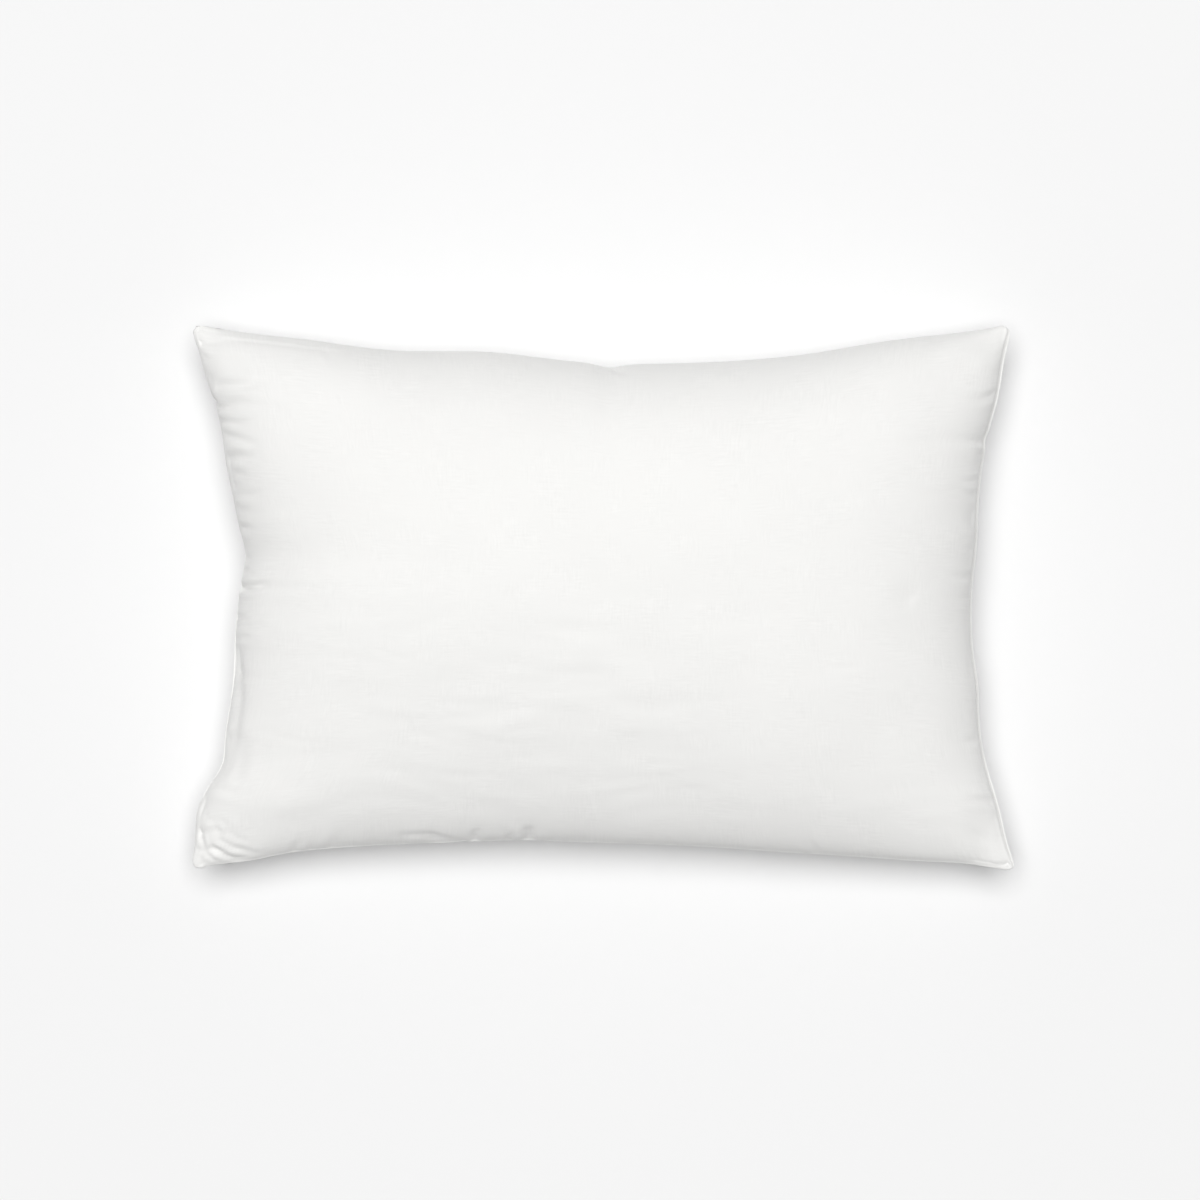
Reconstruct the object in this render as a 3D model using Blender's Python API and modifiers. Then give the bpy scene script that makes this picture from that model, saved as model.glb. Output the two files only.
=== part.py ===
"""A bed pillow: a plain cotton casing with knife edges, filled with polyester fibre.

It lies on its back, in metres with +Z up. +X runs along the long side, towards the short side that
is stitched shut after filling, and the flattened back rests on Z = 0.

Every surface is a function of u and v, which run from -1 to 1 across the pillow. A piece starts as a
flat grid in u and v, and place_points then lifts it onto its surface.
"""

import math

import bmesh
import bpy
import numpy as np

# Overall sizes, seam tip to seam tip and floor to crown.
OVERALL_LENGTH = 0.733
OVERALL_WIDTH = 0.4855
LOFT = 0.170

# The seam's height over the floor, and how much lower it hangs at the four corners.
SEAM_HEIGHT = 0.068
EAR_DROP = 0.010

# How far the weight presses the back flat, measured at its middle.
BACK_PRESS = 0.007

# How far each side is drawn in by the filling, and where along the side it is deepest (0 to 1,
# from the left or from the bottom).
TOP_BOW, TOP_DEEPEST = 0.036, 0.52
BOTTOM_BOW, BOTTOM_DEEPEST = 0.027, 0.40
LEFT_BOW, LEFT_DEEPEST = 0.046, 0.53
RIGHT_BOW, RIGHT_DEEPEST = 0.040, 0.46
TOP_RIGHT_SET_IN = 0.005
TIP_RADIUS = 0.0085

# The crown's profile along each direction: 1 - distance ** flatness, to the power of fullness.
FLATNESS_LONG, FLATNESS_WIDE, FULLNESS = 3.0, 2.2, 0.5

# The sewing.
CLOTH = 0.0004
PLY_GAP = 0.0003
SEAM_ALLOWANCE = 0.010
RIM_WIDTH = 0.0045
SEAM_THREAD = 0.0003
SEAM_INSET = 0.0012
OVERLOCK_THREAD = 0.0006
CLOSING_THREAD = 0.0004
CLOSING_INSET = 0.0028
CLOSING_MARGIN = 0.018
THREAD_CLEARANCE = 0.0003

# The filling.
FILL_CLEARANCE = 0.0005
FILL_NOSE_GAP = 0.002

# Mesh fineness.
CELLS_LONG, CELLS_WIDE = 24, 16
CROWDING = 0.30

# What follows from the sizes above. A turned edge is six layers high: panel, thread, allowance and
# the same again below the seam plane.
half_length, half_width = OVERALL_LENGTH / 2, OVERALL_WIDTH / 2
allowance_height = (PLY_GAP + CLOTH) / 2
needle_height = PLY_GAP / 2 + CLOTH + THREAD_CLEARANCE + SEAM_THREAD / 2
panel_height = needle_height + SEAM_THREAD / 2 + THREAD_CLEARANCE + CLOTH / 2
crown_rise = LOFT - CLOTH / 2 - SEAM_HEIGHT - panel_height
back_fall = SEAM_HEIGHT - panel_height - CLOTH / 2 + BACK_PRESS
overlock_inset = SEAM_ALLOWANCE + THREAD_CLEARANCE + OVERLOCK_THREAD / 2
fill_setback = overlock_inset + OVERLOCK_THREAD / 2 + FILL_NOSE_GAP

# The layers of a panel's grid, kept in the third coordinate until place_points runs.
FACE, TURN, ALLOWANCE = 0, 1, 2


def clear_scene():
    for thing in list(bpy.data.objects):
        bpy.data.objects.remove(thing, do_unlink=True)


def bow(share, depth, deepest):
    """How far a side is drawn in at a share of its length: a parabola with its peak at deepest."""
    warped = np.clip(share, 0, 1) ** (math.log(0.5) / math.log(deepest))
    return depth * 4 * warped * (1 - warped)


def round_tips(x, y):
    """The rectangle with its corners rounded: each corner square is mapped to a quarter of a disc."""
    past_x = (np.abs(x) - half_length + TIP_RADIUS) / TIP_RADIUS
    past_y = (np.abs(y) - half_width + TIP_RADIUS) / TIP_RADIUS
    squeeze_x = np.sqrt(1 - np.clip(past_y, 0, 1) ** 2 / 2)
    squeeze_y = np.sqrt(1 - np.clip(past_x, 0, 1) ** 2 / 2)
    rounded_x = np.abs(x) - np.clip(past_x, 0, None) * TIP_RADIUS * (1 - squeeze_x)
    rounded_y = np.abs(y) - np.clip(past_y, 0, None) * TIP_RADIUS * (1 - squeeze_y)
    return np.sign(x) * rounded_x, np.sign(y) * rounded_y


def drawn_plan(u, v):
    """Plan position before centring: the rounded rectangle, each side drawn in by its own bow."""
    x, y = round_tips(u * half_length, v * half_width)
    along, across = (x / half_length + 1) / 2, (y / half_width + 1) / 2
    top, bottom = bow(along, TOP_BOW, TOP_DEEPEST), bow(along, BOTTOM_BOW, BOTTOM_DEEPEST)
    left, right = bow(across, LEFT_BOW, LEFT_DEEPEST), bow(across, RIGHT_BOW, RIGHT_DEEPEST)
    right = right + TOP_RIGHT_SET_IN * across
    drawn_x = x * (1 - np.where(x > 0, right, left) / half_length)
    drawn_y = y * (1 - np.where(y > 0, top, bottom) / half_width)
    return drawn_x, drawn_y


def plan_box():
    """The lowest and highest plan coordinates of the drawn outline."""
    run = np.linspace(-1, 1, 4001)
    edge = np.ones_like(run)
    u = np.concatenate([run, run, edge, -edge])
    v = np.concatenate([edge, -edge, run, run])
    points = np.stack(drawn_plan(u, v))
    return points.min(axis=1), points.max(axis=1)


PLAN_LOW, PLAN_HIGH = plan_box()


def plan(u, v):
    """Plan position of u and v, centred on the origin and brought to the overall length and width."""
    x, y = drawn_plan(u, v)
    middle, size = (PLAN_LOW + PLAN_HIGH) / 2, PLAN_HIGH - PLAN_LOW
    return (x - middle[0]) * OVERALL_LENGTH / size[0], (y - middle[1]) * OVERALL_WIDTH / size[1]


def seam_plane(u, v):
    """Height of the seam plane: level, and dropping towards the four corners."""
    return SEAM_HEIGHT - EAR_DROP * (u * v) ** 2


def fullness(u, v):
    """1 at the middle and 0 from the rim outwards: the product of a long and a wide profile."""
    across_u = np.clip(np.abs(u) / (1 - RIM_WIDTH / half_length), 0, 1)
    across_v = np.clip(np.abs(v) / (1 - RIM_WIDTH / half_width), 0, 1)
    swell = (1 - across_u**FLATNESS_LONG) * (1 - across_v**FLATNESS_WIDE)
    return swell**FULLNESS


def front_sheet(u, v):
    """Middle of the front cloth: the seam plane plus the rim's thickness and the crown."""
    x, y = plan(u, v)
    return np.stack([x, y, seam_plane(u, v) + panel_height + crown_rise * fullness(u, v)], axis=-1)


def back_sheet(u, v):
    """Middle of the back cloth: it falls from the seam plane and is pressed flat on the floor."""
    x, y = plan(u, v)
    free = seam_plane(u, v) - panel_height - back_fall * fullness(u, v)
    return np.stack([x, y, np.maximum(free, CLOTH / 2)], axis=-1)


def inside_of(sheet, u, v, depth):
    """The sheet moved by depth along its normal, into the pillow."""
    step = 1e-4
    du = sheet(u + step, v) - sheet(u - step, v)
    dv = sheet(u, v + step) - sheet(u, v - step)
    normal = np.cross(du, dv)
    normal /= np.linalg.norm(normal, axis=-1, keepdims=True)
    inwards = -1 if sheet is front_sheet else 1
    return sheet(u, v) + inwards * depth * normal


def crowd(s, cells, half):
    """Even grid lines, moved to suit the pillow.

    Counting from the middle, the last line is the seam, the one before it the rim's inner edge, and
    the one before that the end of the filling. The rest crowd towards the seam.
    """
    line, count = np.abs(s) * cells / 2, cells / 2
    filled = 1 - fill_setback / half
    share = np.clip(line / (count - 2), 0, 1)
    inner = filled * share * (1 + CROWDING * (1 - share**2))
    outer = np.interp(line, [count - 2, count - 1, count], [filled, 1 - RIM_WIDTH / half, 1])
    return np.sign(s) * np.where(line > count - 2, outer, inner)


def grid_lines(cells, half):
    return crowd(np.linspace(-1, 1, cells + 1), cells, half)


def material(name, colour, roughness):
    made = bpy.data.materials.new(name)
    made.use_nodes = True
    shader = made.node_tree.nodes["Principled BSDF"]
    shader.inputs["Base Color"].default_value = (*colour, 1)
    shader.inputs["Roughness"].default_value = roughness
    shader.inputs["Metallic"].default_value = 0
    return made


def add_part(thing, name, finish):
    """Names an object, gives it its material and moves it into the pillow's collection."""
    thing.name = thing.data.name = name
    thing.data.materials.append(finish)
    for owner in list(thing.users_collection):
        owner.objects.unlink(thing)
    pillow.objects.link(thing)
    return thing


def grid_object():
    """A flat grid from -1 to 1 each way, and its triangles as a bmesh to shape further."""
    bpy.ops.mesh.primitive_grid_add(x_subdivisions=CELLS_LONG, y_subdivisions=CELLS_WIDE, size=2)
    thing = bpy.context.object
    shape = bmesh.new()
    shape.from_mesh(thing.data)
    bmesh.ops.triangulate(shape, faces=shape.faces, quad_method="FIXED")
    return thing, shape


def finish_grid(thing, shape, surface):
    """Writes the shaped grid back to its object and lifts it onto its surface."""
    bmesh.ops.recalc_face_normals(shape, faces=shape.faces)
    shape.to_mesh(thing.data)
    shape.free()
    place_points(thing.data, surface)
    thing.data.shade_smooth()


def place_points(mesh, surface):
    """Moves every point from its place in the grid, u, v and layer, to where surface puts it."""
    flat = np.empty(len(mesh.vertices) * 3)
    mesh.vertices.foreach_get("co", flat)
    u, v, layer = flat.reshape(-1, 3).T
    mesh.vertices.foreach_set("co", surface(u, v, np.rint(layer)).ravel())
    mesh.update()


def panel_surface(sheet):
    """The panel's surface: its face, the turn at the seam and the allowance folded back inside."""
    side = 1 if sheet is front_sheet else -1

    def surface(u, v, layer):
        tucked = layer == ALLOWANCE
        u = crowd(u, CELLS_LONG, half_length)
        v = crowd(v, CELLS_WIDE, half_width)
        u = u * np.where(tucked, 1 - SEAM_ALLOWANCE / half_length, 1)
        v = v * np.where(tucked, 1 - SEAM_ALLOWANCE / half_width, 1)
        points = sheet(u, v)
        folded = seam_plane(u, v) + side * allowance_height
        points[:, 2] = np.where(layer == FACE, points[:, 2], folded)
        return points

    return surface


def panel(name, sheet, finish):
    """One cloth panel, with its seam allowance turned in all round."""
    thing, shape = grid_object()
    for layer in (TURN, ALLOWANCE):
        edges = [edge for edge in shape.edges if edge.is_boundary]
        grown = bmesh.ops.extrude_edge_only(shape, edges=edges)["geom"]
        for point in grown:
            if isinstance(point, bmesh.types.BMVert):
                point.co.z = layer
    finish_grid(thing, shape, panel_surface(sheet))
    wall = thing.modifiers.new("cloth", "SOLIDIFY")
    wall.thickness = CLOTH
    wall.offset = 0
    wall.use_even_offset = True
    return add_part(thing, name, finish)


def fill_surface(u, v, layer):
    """The filling's underside on the first layer and its top on the second, just inside the cloth."""
    u = crowd(u, CELLS_LONG, half_length)
    v = crowd(v, CELLS_WIDE, half_width)
    depth = CLOTH / 2 + FILL_CLEARANCE
    top = inside_of(front_sheet, u, v, depth)
    under = inside_of(back_sheet, u, v, depth)
    return np.where((layer == 1)[:, None], top, under)


def filling(name, finish):
    """The fibre as one closed body: the grid without its two outer strips, doubled into a slab.

    It keeps the panels' grid lines, so that its facets run parallel to theirs.
    """
    thing, shape = grid_object()
    last_long, last_wide = 1 - 3 / CELLS_LONG, 1 - 3 / CELLS_WIDE
    outer = [p for p in shape.verts if abs(p.co.x) > last_long or abs(p.co.y) > last_wide]
    bmesh.ops.delete(shape, geom=outer, context="VERTS")
    grown = bmesh.ops.extrude_face_region(shape, geom=shape.faces[:], use_keep_orig=True)["geom"]
    for point in grown:
        if isinstance(point, bmesh.types.BMVert):
            point.co.z = 1
    finish_grid(thing, shape, fill_surface)
    return add_part(thing, name, finish)


def three_sides(inset):
    """u and v along the sewn seam at an inset from it: the top leftwards, the left side, the bottom.

    The points lie on the panels' grid lines, so that the thread runs parallel to the facets. A thread
    nearer the edge than the tips' radius cuts the corner.
    """
    end_u, end_v = 1 - inset / half_length, 1 - inset / half_width
    lines_u = grid_lines(CELLS_LONG, half_length)
    lines_v = grid_lines(CELLS_WIDE, half_width)
    lines_u = lines_u[np.abs(lines_u) < end_u]
    lines_v = lines_v[np.abs(lines_v) < end_v]
    corner = inset > TIP_RADIUS
    run_u = np.concatenate([[end_u], lines_u[::-1], [-end_u]]) if corner else lines_u[::-1]
    run_v = lines_v[::-1]
    u = np.concatenate([run_u, np.full(len(run_v), -end_u), run_u[::-1]])
    v = np.concatenate([np.full(len(run_u), end_v), run_v, np.full(len(run_u), -end_v)])
    return u, v


def closed_side():
    """u and v along the closing stitch, on the right side."""
    end_v = 1 - CLOSING_MARGIN / half_width
    lines_v = grid_lines(CELLS_WIDE, half_width)
    lines_v = lines_v[np.abs(lines_v) < end_v]
    v = np.concatenate([[-end_v], lines_v, [end_v]])
    return np.full(len(v), 1 - CLOSING_INSET / half_length), v


def thread(name, route, lift, diameter, finish):
    """A thread as a round tube, at a height over the seam plane, along a route of u and v."""
    u, v = route
    x, y = plan(u, v)
    z = seam_plane(u, v) + lift
    curve = bpy.data.curves.new(name, "CURVE")
    curve.dimensions = "3D"
    curve.bevel_depth = diameter / 2
    curve.bevel_resolution = 2
    curve.use_fill_caps = True
    line = curve.splines.new("POLY")
    line.points.add(len(x) - 1)
    line.points.foreach_set("co", np.stack([x, y, z, np.ones_like(x)], axis=-1).ravel())
    return add_part(bpy.data.objects.new(name, curve), name, finish)


clear_scene()
pillow = bpy.data.collections.new("bed_pillow")
bpy.context.scene.collection.children.link(pillow)

front_cotton = material("front cotton percale", (0.86, 0.85, 0.82), 0.85)
back_cotton = material("back cotton percale", (0.84, 0.83, 0.80), 0.85)
fibre = material("polyester fibre", (0.93, 0.93, 0.92), 0.95)
needle_cotton = material("seam needle thread", (0.88, 0.87, 0.84), 0.6)
looper_cotton = material("seam looper thread", (0.80, 0.80, 0.78), 0.6)
overlock_cotton = material("overlock thread", (0.90, 0.89, 0.86), 0.65)
closing_cotton = material("closing needle thread", (0.90, 0.90, 0.88), 0.55)
bobbin_cotton = material("closing bobbin thread", (0.82, 0.82, 0.80), 0.55)

panel("front_panel", front_sheet, front_cotton)
panel("back_panel", back_sheet, back_cotton)
filling("fibre_fill", fibre)

thread("seam_needle_thread", three_sides(SEAM_INSET), needle_height, SEAM_THREAD, needle_cotton)
thread("seam_looper_thread", three_sides(SEAM_INSET), -needle_height, SEAM_THREAD, looper_cotton)
thread("overlock_thread", three_sides(overlock_inset), 0, OVERLOCK_THREAD, overlock_cotton)

closing_height = panel_height + CLOTH / 2 + THREAD_CLEARANCE + CLOSING_THREAD / 2
thread("closing_needle_thread", closed_side(), closing_height, CLOSING_THREAD, closing_cotton)
thread("closing_bobbin_thread", closed_side(), -closing_height, CLOSING_THREAD, bobbin_cotton)
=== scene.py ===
# %% [markdown]
# # A bed pillow
#
# A plain white pillow lies on its back: two panels of cotton percale sewn edge to edge, turned right
# side out, filled with loose polyester fibre and stitched shut along one short side. It looks simple,
# and all of its character is in how flat cloth behaves once it is filled: the sides draw in between
# the corners, the corners stay flat like ears, the turned seam shows as a narrow rim, and the cloth
# puckers where it has more length than the seam.
#
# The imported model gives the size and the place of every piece. This script makes the surfaces that
# stand for those pieces, and nothing here changes the pillow's dimensions.

import math

import bmesh
import bpy
import numpy as np
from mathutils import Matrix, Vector


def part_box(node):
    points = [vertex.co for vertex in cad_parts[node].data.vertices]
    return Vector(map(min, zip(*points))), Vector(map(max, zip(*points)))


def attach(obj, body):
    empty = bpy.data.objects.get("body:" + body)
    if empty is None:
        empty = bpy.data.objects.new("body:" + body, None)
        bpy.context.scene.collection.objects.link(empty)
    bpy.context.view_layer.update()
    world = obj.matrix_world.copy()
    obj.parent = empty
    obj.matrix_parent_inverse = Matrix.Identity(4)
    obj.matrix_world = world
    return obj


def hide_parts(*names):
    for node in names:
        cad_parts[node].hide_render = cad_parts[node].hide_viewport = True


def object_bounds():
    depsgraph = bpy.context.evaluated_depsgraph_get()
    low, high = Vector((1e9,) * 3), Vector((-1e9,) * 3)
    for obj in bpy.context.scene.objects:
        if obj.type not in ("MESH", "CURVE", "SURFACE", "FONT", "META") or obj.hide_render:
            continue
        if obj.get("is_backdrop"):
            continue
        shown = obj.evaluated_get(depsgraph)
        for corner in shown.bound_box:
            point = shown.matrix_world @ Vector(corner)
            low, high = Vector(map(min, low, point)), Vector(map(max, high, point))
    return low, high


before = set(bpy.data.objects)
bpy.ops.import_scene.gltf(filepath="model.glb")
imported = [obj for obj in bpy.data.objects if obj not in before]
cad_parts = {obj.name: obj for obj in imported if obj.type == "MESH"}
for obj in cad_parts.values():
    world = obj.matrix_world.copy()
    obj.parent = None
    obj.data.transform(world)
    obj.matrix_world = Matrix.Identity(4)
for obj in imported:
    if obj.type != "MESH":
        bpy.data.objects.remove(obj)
cad_low, cad_high = (np.array(corner, float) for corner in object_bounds())
scene = bpy.context.scene
MM = 0.001
print("the packed pillow measures", np.round((cad_high - cad_low) / MM, 1), "mm")

# %% [markdown]
# ## The camera
#
# The pillow is looked down on from straight above. A long lens about three metres up keeps the crown
# from looking larger than the ears. The height is worked out from the width of floor that the view
# takes in at the seam, which is the plane where the outline lies.

# %% Put the camera overhead
def linked(name, data):
    """A new object with this data, linked to the scene."""
    made = bpy.data.objects.new(name, data)
    scene.collection.objects.link(made)
    return made


seam_height = np.array(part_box("back_panel")[1], float)[2]
view_width = 1.068
lens, sensor = 100, 36
camera_shift = -3.1 * MM, -1.8 * MM
middle = (cad_low + cad_high) / 2

camera_data = bpy.data.cameras.new("overhead")
camera_data.lens = lens
camera_data.sensor_width = sensor
camera = linked("overhead", camera_data)
camera_height = seam_height + view_width * lens / sensor
camera.location = (middle[0] + camera_shift[0], middle[1] + camera_shift[1], camera_height)
scene.camera = camera
print("camera", round(camera.location.z, 3), "m up, seam plane at", round(seam_height / MM, 1), "mm")

# %% [markdown]
# ## The outline
#
# A filled pillow's sides bow in, because the panels' arcs need cloth that the plan then lacks. Each
# side is a parabola, as deep as the filling draws it in, and a few soft bumps along it: places where
# the real seam runs straighter, kinks, or is nicked by a pucker. A side is read from 0 to 1, from the
# left or from the bottom.


# %% Draw the four sides
def bow(share, depth, deepest, bumps):
    """How far a side is drawn in at a share of its length.

    A parabola of the given depth, warped so that its peak lies at deepest, plus one bell curve for
    each bump (where, how far in, how wide), faded out at the corners.
    """
    share, corner_fade = np.clip(share, 0, 1), 0.02
    warped = share ** (math.log(0.5) / math.log(deepest))
    drawn = depth * 4 * warped * (1 - warped)
    for where, inward, width in bumps:
        drawn = drawn + inward * np.exp(-(((share - where) / width) ** 2))
    return drawn * np.clip(np.minimum(share, 1 - share) / corner_fade, 0, 1) * MM


def top_bow(share):
    bumps = [(0.15, -2.0, 0.06), (0.36, -7.0, 0.09), (0.506, 3.5, 0.02), (0.85, -4.5, 0.09)]
    return bow(share, 36, 0.52, bumps)


def bottom_bow(share):
    bumps = [(0.07, -3.0, 0.04), (0.33, 0.8, 0.012), (0.40, 1.5, 0.05)]
    bumps += [(0.72, -1.0, 0.08), (0.93, 2.0, 0.04)]
    return bow(share, 27, 0.40, bumps)


def left_bow(share):
    bumps = [(0.115, -8.0, 0.055), (0.20, 4.0, 0.035), (0.44, -3.0, 0.07), (0.52, 1.6, 0.007)]
    bumps += [(0.58, 5.0, 0.04), (0.74, -3.5, 0.07), (0.857, 2.4, 0.008), (0.90, -2.5, 0.06)]
    return bow(share, 46, 0.53, bumps)


def right_bow(share):
    bumps = [(0.12, -3.0, 0.06), (0.34, -3.0, 0.05), (0.60, -2.5, 0.06)]
    bumps += [(0.79, 1.8, 0.012), (0.87, -2.5, 0.05)]
    return bow(share, 40, 0.46, bumps)


half_length, half_width = (cad_high - cad_low)[:2] / 2
top_right_set_in = 5 * MM
tip_radius = 14 * MM


def round_tips(u, v):
    """u and v with each corner square mapped to a quarter disc, so that the ears end in round tips."""
    past_u = (np.abs(u) * half_length - half_length + tip_radius) / tip_radius
    past_v = (np.abs(v) * half_width - half_width + tip_radius) / tip_radius
    squeeze_u = 1 - np.sqrt(1 - np.clip(past_v, 0, 1) ** 2 / 2)
    squeeze_v = 1 - np.sqrt(1 - np.clip(past_u, 0, 1) ** 2 / 2)
    u = np.sign(u) * (np.abs(u) - np.clip(past_u, 0, None) * squeeze_u * tip_radius / half_length)
    v = np.sign(v) * (np.abs(v) - np.clip(past_v, 0, None) * squeeze_v * tip_radius / half_width)
    return u, v


def drawn_plan(u, v):
    """Plan position of u and v, which run from -1 to 1: a rectangle, each side drawn in by its bow."""
    u, v = round_tips(u, v)
    along, across = (u + 1) / 2, (v + 1) / 2
    sides = np.where(u > 0, right_bow(across) + top_right_set_in * across, left_bow(across))
    ends = np.where(v > 0, top_bow(along), bottom_bow(along))
    return u * (half_length - sides), v * (half_width - ends)


run, edge = np.linspace(-1, 1, 2001), np.ones(2001)
rim_u, rim_v = np.concatenate([run, run, edge, -edge]), np.concatenate([edge, -edge, run, run])
rim_x, rim_y = drawn_plan(rim_u, rim_v)
plan_middle = np.array([rim_x.min() + rim_x.max(), rim_y.min() + rim_y.max()]) / 2
plan_scale = 2 * np.array([half_length, half_width]) / [np.ptp(rim_x), np.ptp(rim_y)]


def plan(u, v):
    """drawn_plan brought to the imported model's own box."""
    x, y = drawn_plan(u, v)
    x = (x - plan_middle[0]) * plan_scale[0] + middle[0]
    return x, (y - plan_middle[1]) * plan_scale[1] + middle[1]


print("outline", np.round([np.ptp(rim_x) / MM, np.ptp(rim_y) / MM], 1), "mm before it meets the box")

# %% [markdown]
# ## Filling the casing
#
# The panels could be given a dome by formula alone, but then the cloth would stretch and shrink from
# place to place as no cotton can. So the dome is only a start. Both panels are one closed cloth,
# welded along the seam, whose rest lengths come from the flat cut: four percent less along the
# pillow, which keeps it taut, and one percent more across it, which leaves some slack. The rim is
# pinned on the outline, air pressure stands in for the fibre, and the cloth settles: it tightens
# across the crown and goes slack towards the seams.


# %% Describe the turned edge and the starting dome
cut_length, cut_width = 745 * MM, 497 * MM
rest_length, rest_width = 0.958, 1.008
plain_rim, stitched_rim = 0.9 * MM, 3.4 * MM
turn_radius, turn_height, bead_height = 0.45 * MM, 0.55 * MM, 0.6 * MM
ear_reach, rim_droop, fold_droop = 52 * MM, 2.6 * MM, 0.8 * MM
ear_drop, gather_depth = 10 * MM, 0.45 * MM
level_rim, bead_share = 1.2 * MM, 0.36


def insets(u, v):
    """Distance in from each side: left, right, bottom and top."""
    return (1 + u) * half_length, (1 - u) * half_length, (1 + v) * half_width, (1 - v) * half_width


def ease(value, start, end):
    """0 before start, 1 after end, and an S-curve between them."""
    share = np.clip((value - start) / (end - start), 0, 1)
    return share * share * (3 - 2 * share)


def wide_on_the_left(v):
    """1 along the lower half of the left side, where its rim lies flatter, and 0 elsewhere."""
    return ease(v, -0.86, -0.70) * (1 - ease(v, -0.15, 0.05))


def seam_plane(u, v):
    """Height of the seam: level, lower towards the four ears, and drooping on the outermost edge.

    The stitched rim droops most, and is gathered into small waves by its thread.
    """
    left, right, bottom, top = insets(u, v)
    rim = np.clip((stitched_rim - right) / (stitched_rim - level_rim), 0, 1)
    rim = rim * (1 - 0.6 * ease(np.abs(v), 0.85, 1.0))
    left = left + plain_rim * wide_on_the_left(v)
    fold = np.clip(1 - np.minimum(left, np.minimum(bottom, top)) / plain_rim, 0, 1)
    stitched_fold = np.clip(1 - right / plain_rim, 0, 1) * (1 - ease(np.abs(v), 0.5, 0.7))
    droop = np.maximum(rim_droop * rim + fold_droop * stitched_fold, fold_droop * fold)
    gather = gather_depth * rim * soft_noise(v * half_width, 0 * v, 4.6 * MM, 61)
    return seam_height - ear_drop * (u * v) ** 2 - droop + gather


def out_of_ear(u, v, start):
    """0 in the flat ears and 1 beyond their reach, which is shorter at the lower left corner."""
    distance = np.hypot((1 - np.abs(u)) * half_length, (1 - np.abs(v)) * half_width)
    shorter = ease(-u, 0, 0.5) * ease(-v, 0, 0.5)
    return ease(distance, start, ear_reach * (1 - 0.65 * shorter))


def short_side_rims(v):
    """Width of the flat rim on the left, wide only along its lower half, and on the stitched right."""
    left = plain_rim + 0.5 * MM * wide_on_the_left(v)
    return left, stitched_rim * (1 - 0.4 * ease(np.abs(v), 0.90, 1.0))


def edge_lift(inset, rim):
    """Height of the turned edge over the seam: a quarter circle, and on a wide rim half an ellipse.

    The ellipse is the bead of cloth that the turned allowances fill, and takes a third of the rim.
    """
    turn = np.sqrt(1 - np.clip(1 - inset / turn_radius, 0, 1) ** 2)
    arch = np.sqrt(np.clip(1 - (2 * inset / (bead_share * rim) - 1) ** 2, 0, 1))
    stuffed = (rim - plain_rim) / (stitched_rim - plain_rim)
    return turn_height + turn_radius * turn + bead_height * stuffed * arch


def swell(u, v):
    """0 on the rim and 1 at the middle: 1 - u cubed times 1 - v to the 2.2, to the power 0.55.

    The tips of the ears get 0.55 of that.
    """
    left_rim, right_rim = short_side_rims(v)
    rim_u = np.where(u > 0, right_rim, left_rim)
    across_u = np.clip(np.abs(u) / (1 - rim_u / half_length), 0, 1)
    across_v = np.clip(np.abs(v) / (1 - plain_rim / half_width), 0, 1)
    ears = 0.55 + 0.45 * out_of_ear(u, v, 8 * MM)
    return ((1 - across_u**3.0) * (1 - across_v**2.2)) ** 0.55 * ears


def starting_panel(u, v, rise):
    """Points of a panel before it settles; rise is its height at the middle, negative for the back."""
    x, y = plan(u, v)
    left, right, bottom, top = insets(u, v)
    left_rim, right_rim = short_side_rims(v)
    plain = edge_lift(np.minimum(bottom, top), plain_rim)
    lift = np.minimum(plain, np.minimum(edge_lift(left, left_rim), edge_lift(right, right_rim)))
    return np.stack([x, y, seam_plane(u, v) + np.sign(rise) * lift + rise * swell(u, v)], axis=-1)


def lines_in_from_seams(length, steps, spacing):
    """Grid lines from -1 to 1: at the given distances in from either end, and evenly spaced between."""
    steps = np.array(steps) * MM
    between = np.linspace(steps[-1], length - steps[-1], int(round((length - 2 * steps[-1]) / spacing)) + 1)
    return 2 * np.concatenate([steps[:-1], between, length - steps[:-1][::-1]]) / length - 1


def grid_quads(index):
    """The quads of a grid of point indices, anticlockwise where the grid's axes run along x and y."""
    near = [index[:-1, :-1], index[1:, :-1]]
    return np.stack(near + [index[1:, 1:], index[:-1, 1:]], axis=-1).reshape(-1, 4)


def two_layers(shape):
    """Point indices of a grid and of a second one on the same rim, and which points lie inside it."""
    inside = np.zeros(shape, bool)
    inside[1:-1, 1:-1] = True
    upper = np.arange(inside.size).reshape(shape)
    lower = upper.copy()
    lower[inside] = inside.size + np.arange(inside.sum())
    return upper, lower, inside


def mesh_object(name, points, faces):
    """A new mesh object in the scene, from an array of points and a list of faces."""
    mesh = bpy.data.meshes.new(name)
    mesh.from_pydata(points.tolist(), [], faces)
    return linked(name, mesh)


def soft_noise(x, y, size, seed):
    """Smooth random heights between -1 and 1 on a lattice of the given size, blended by cosines."""
    table = np.random.default_rng(seed).uniform(-1, 1, (64, 64))
    gx, gy = x / size + 17.3, y / size + 9.1
    ix, iy = np.floor(gx).astype(int), np.floor(gy).astype(int)
    fx, fy = (1 - np.cos(np.pi * (gx - ix))) / 2, (1 - np.cos(np.pi * (gy - iy))) / 2
    low = table[ix % 64, iy % 64] * (1 - fx) + table[(ix + 1) % 64, iy % 64] * fx
    high = table[ix % 64, (iy + 1) % 64] * (1 - fx) + table[(ix + 1) % 64, (iy + 1) % 64] * fx
    return low * (1 - fy) + high * fy


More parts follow.
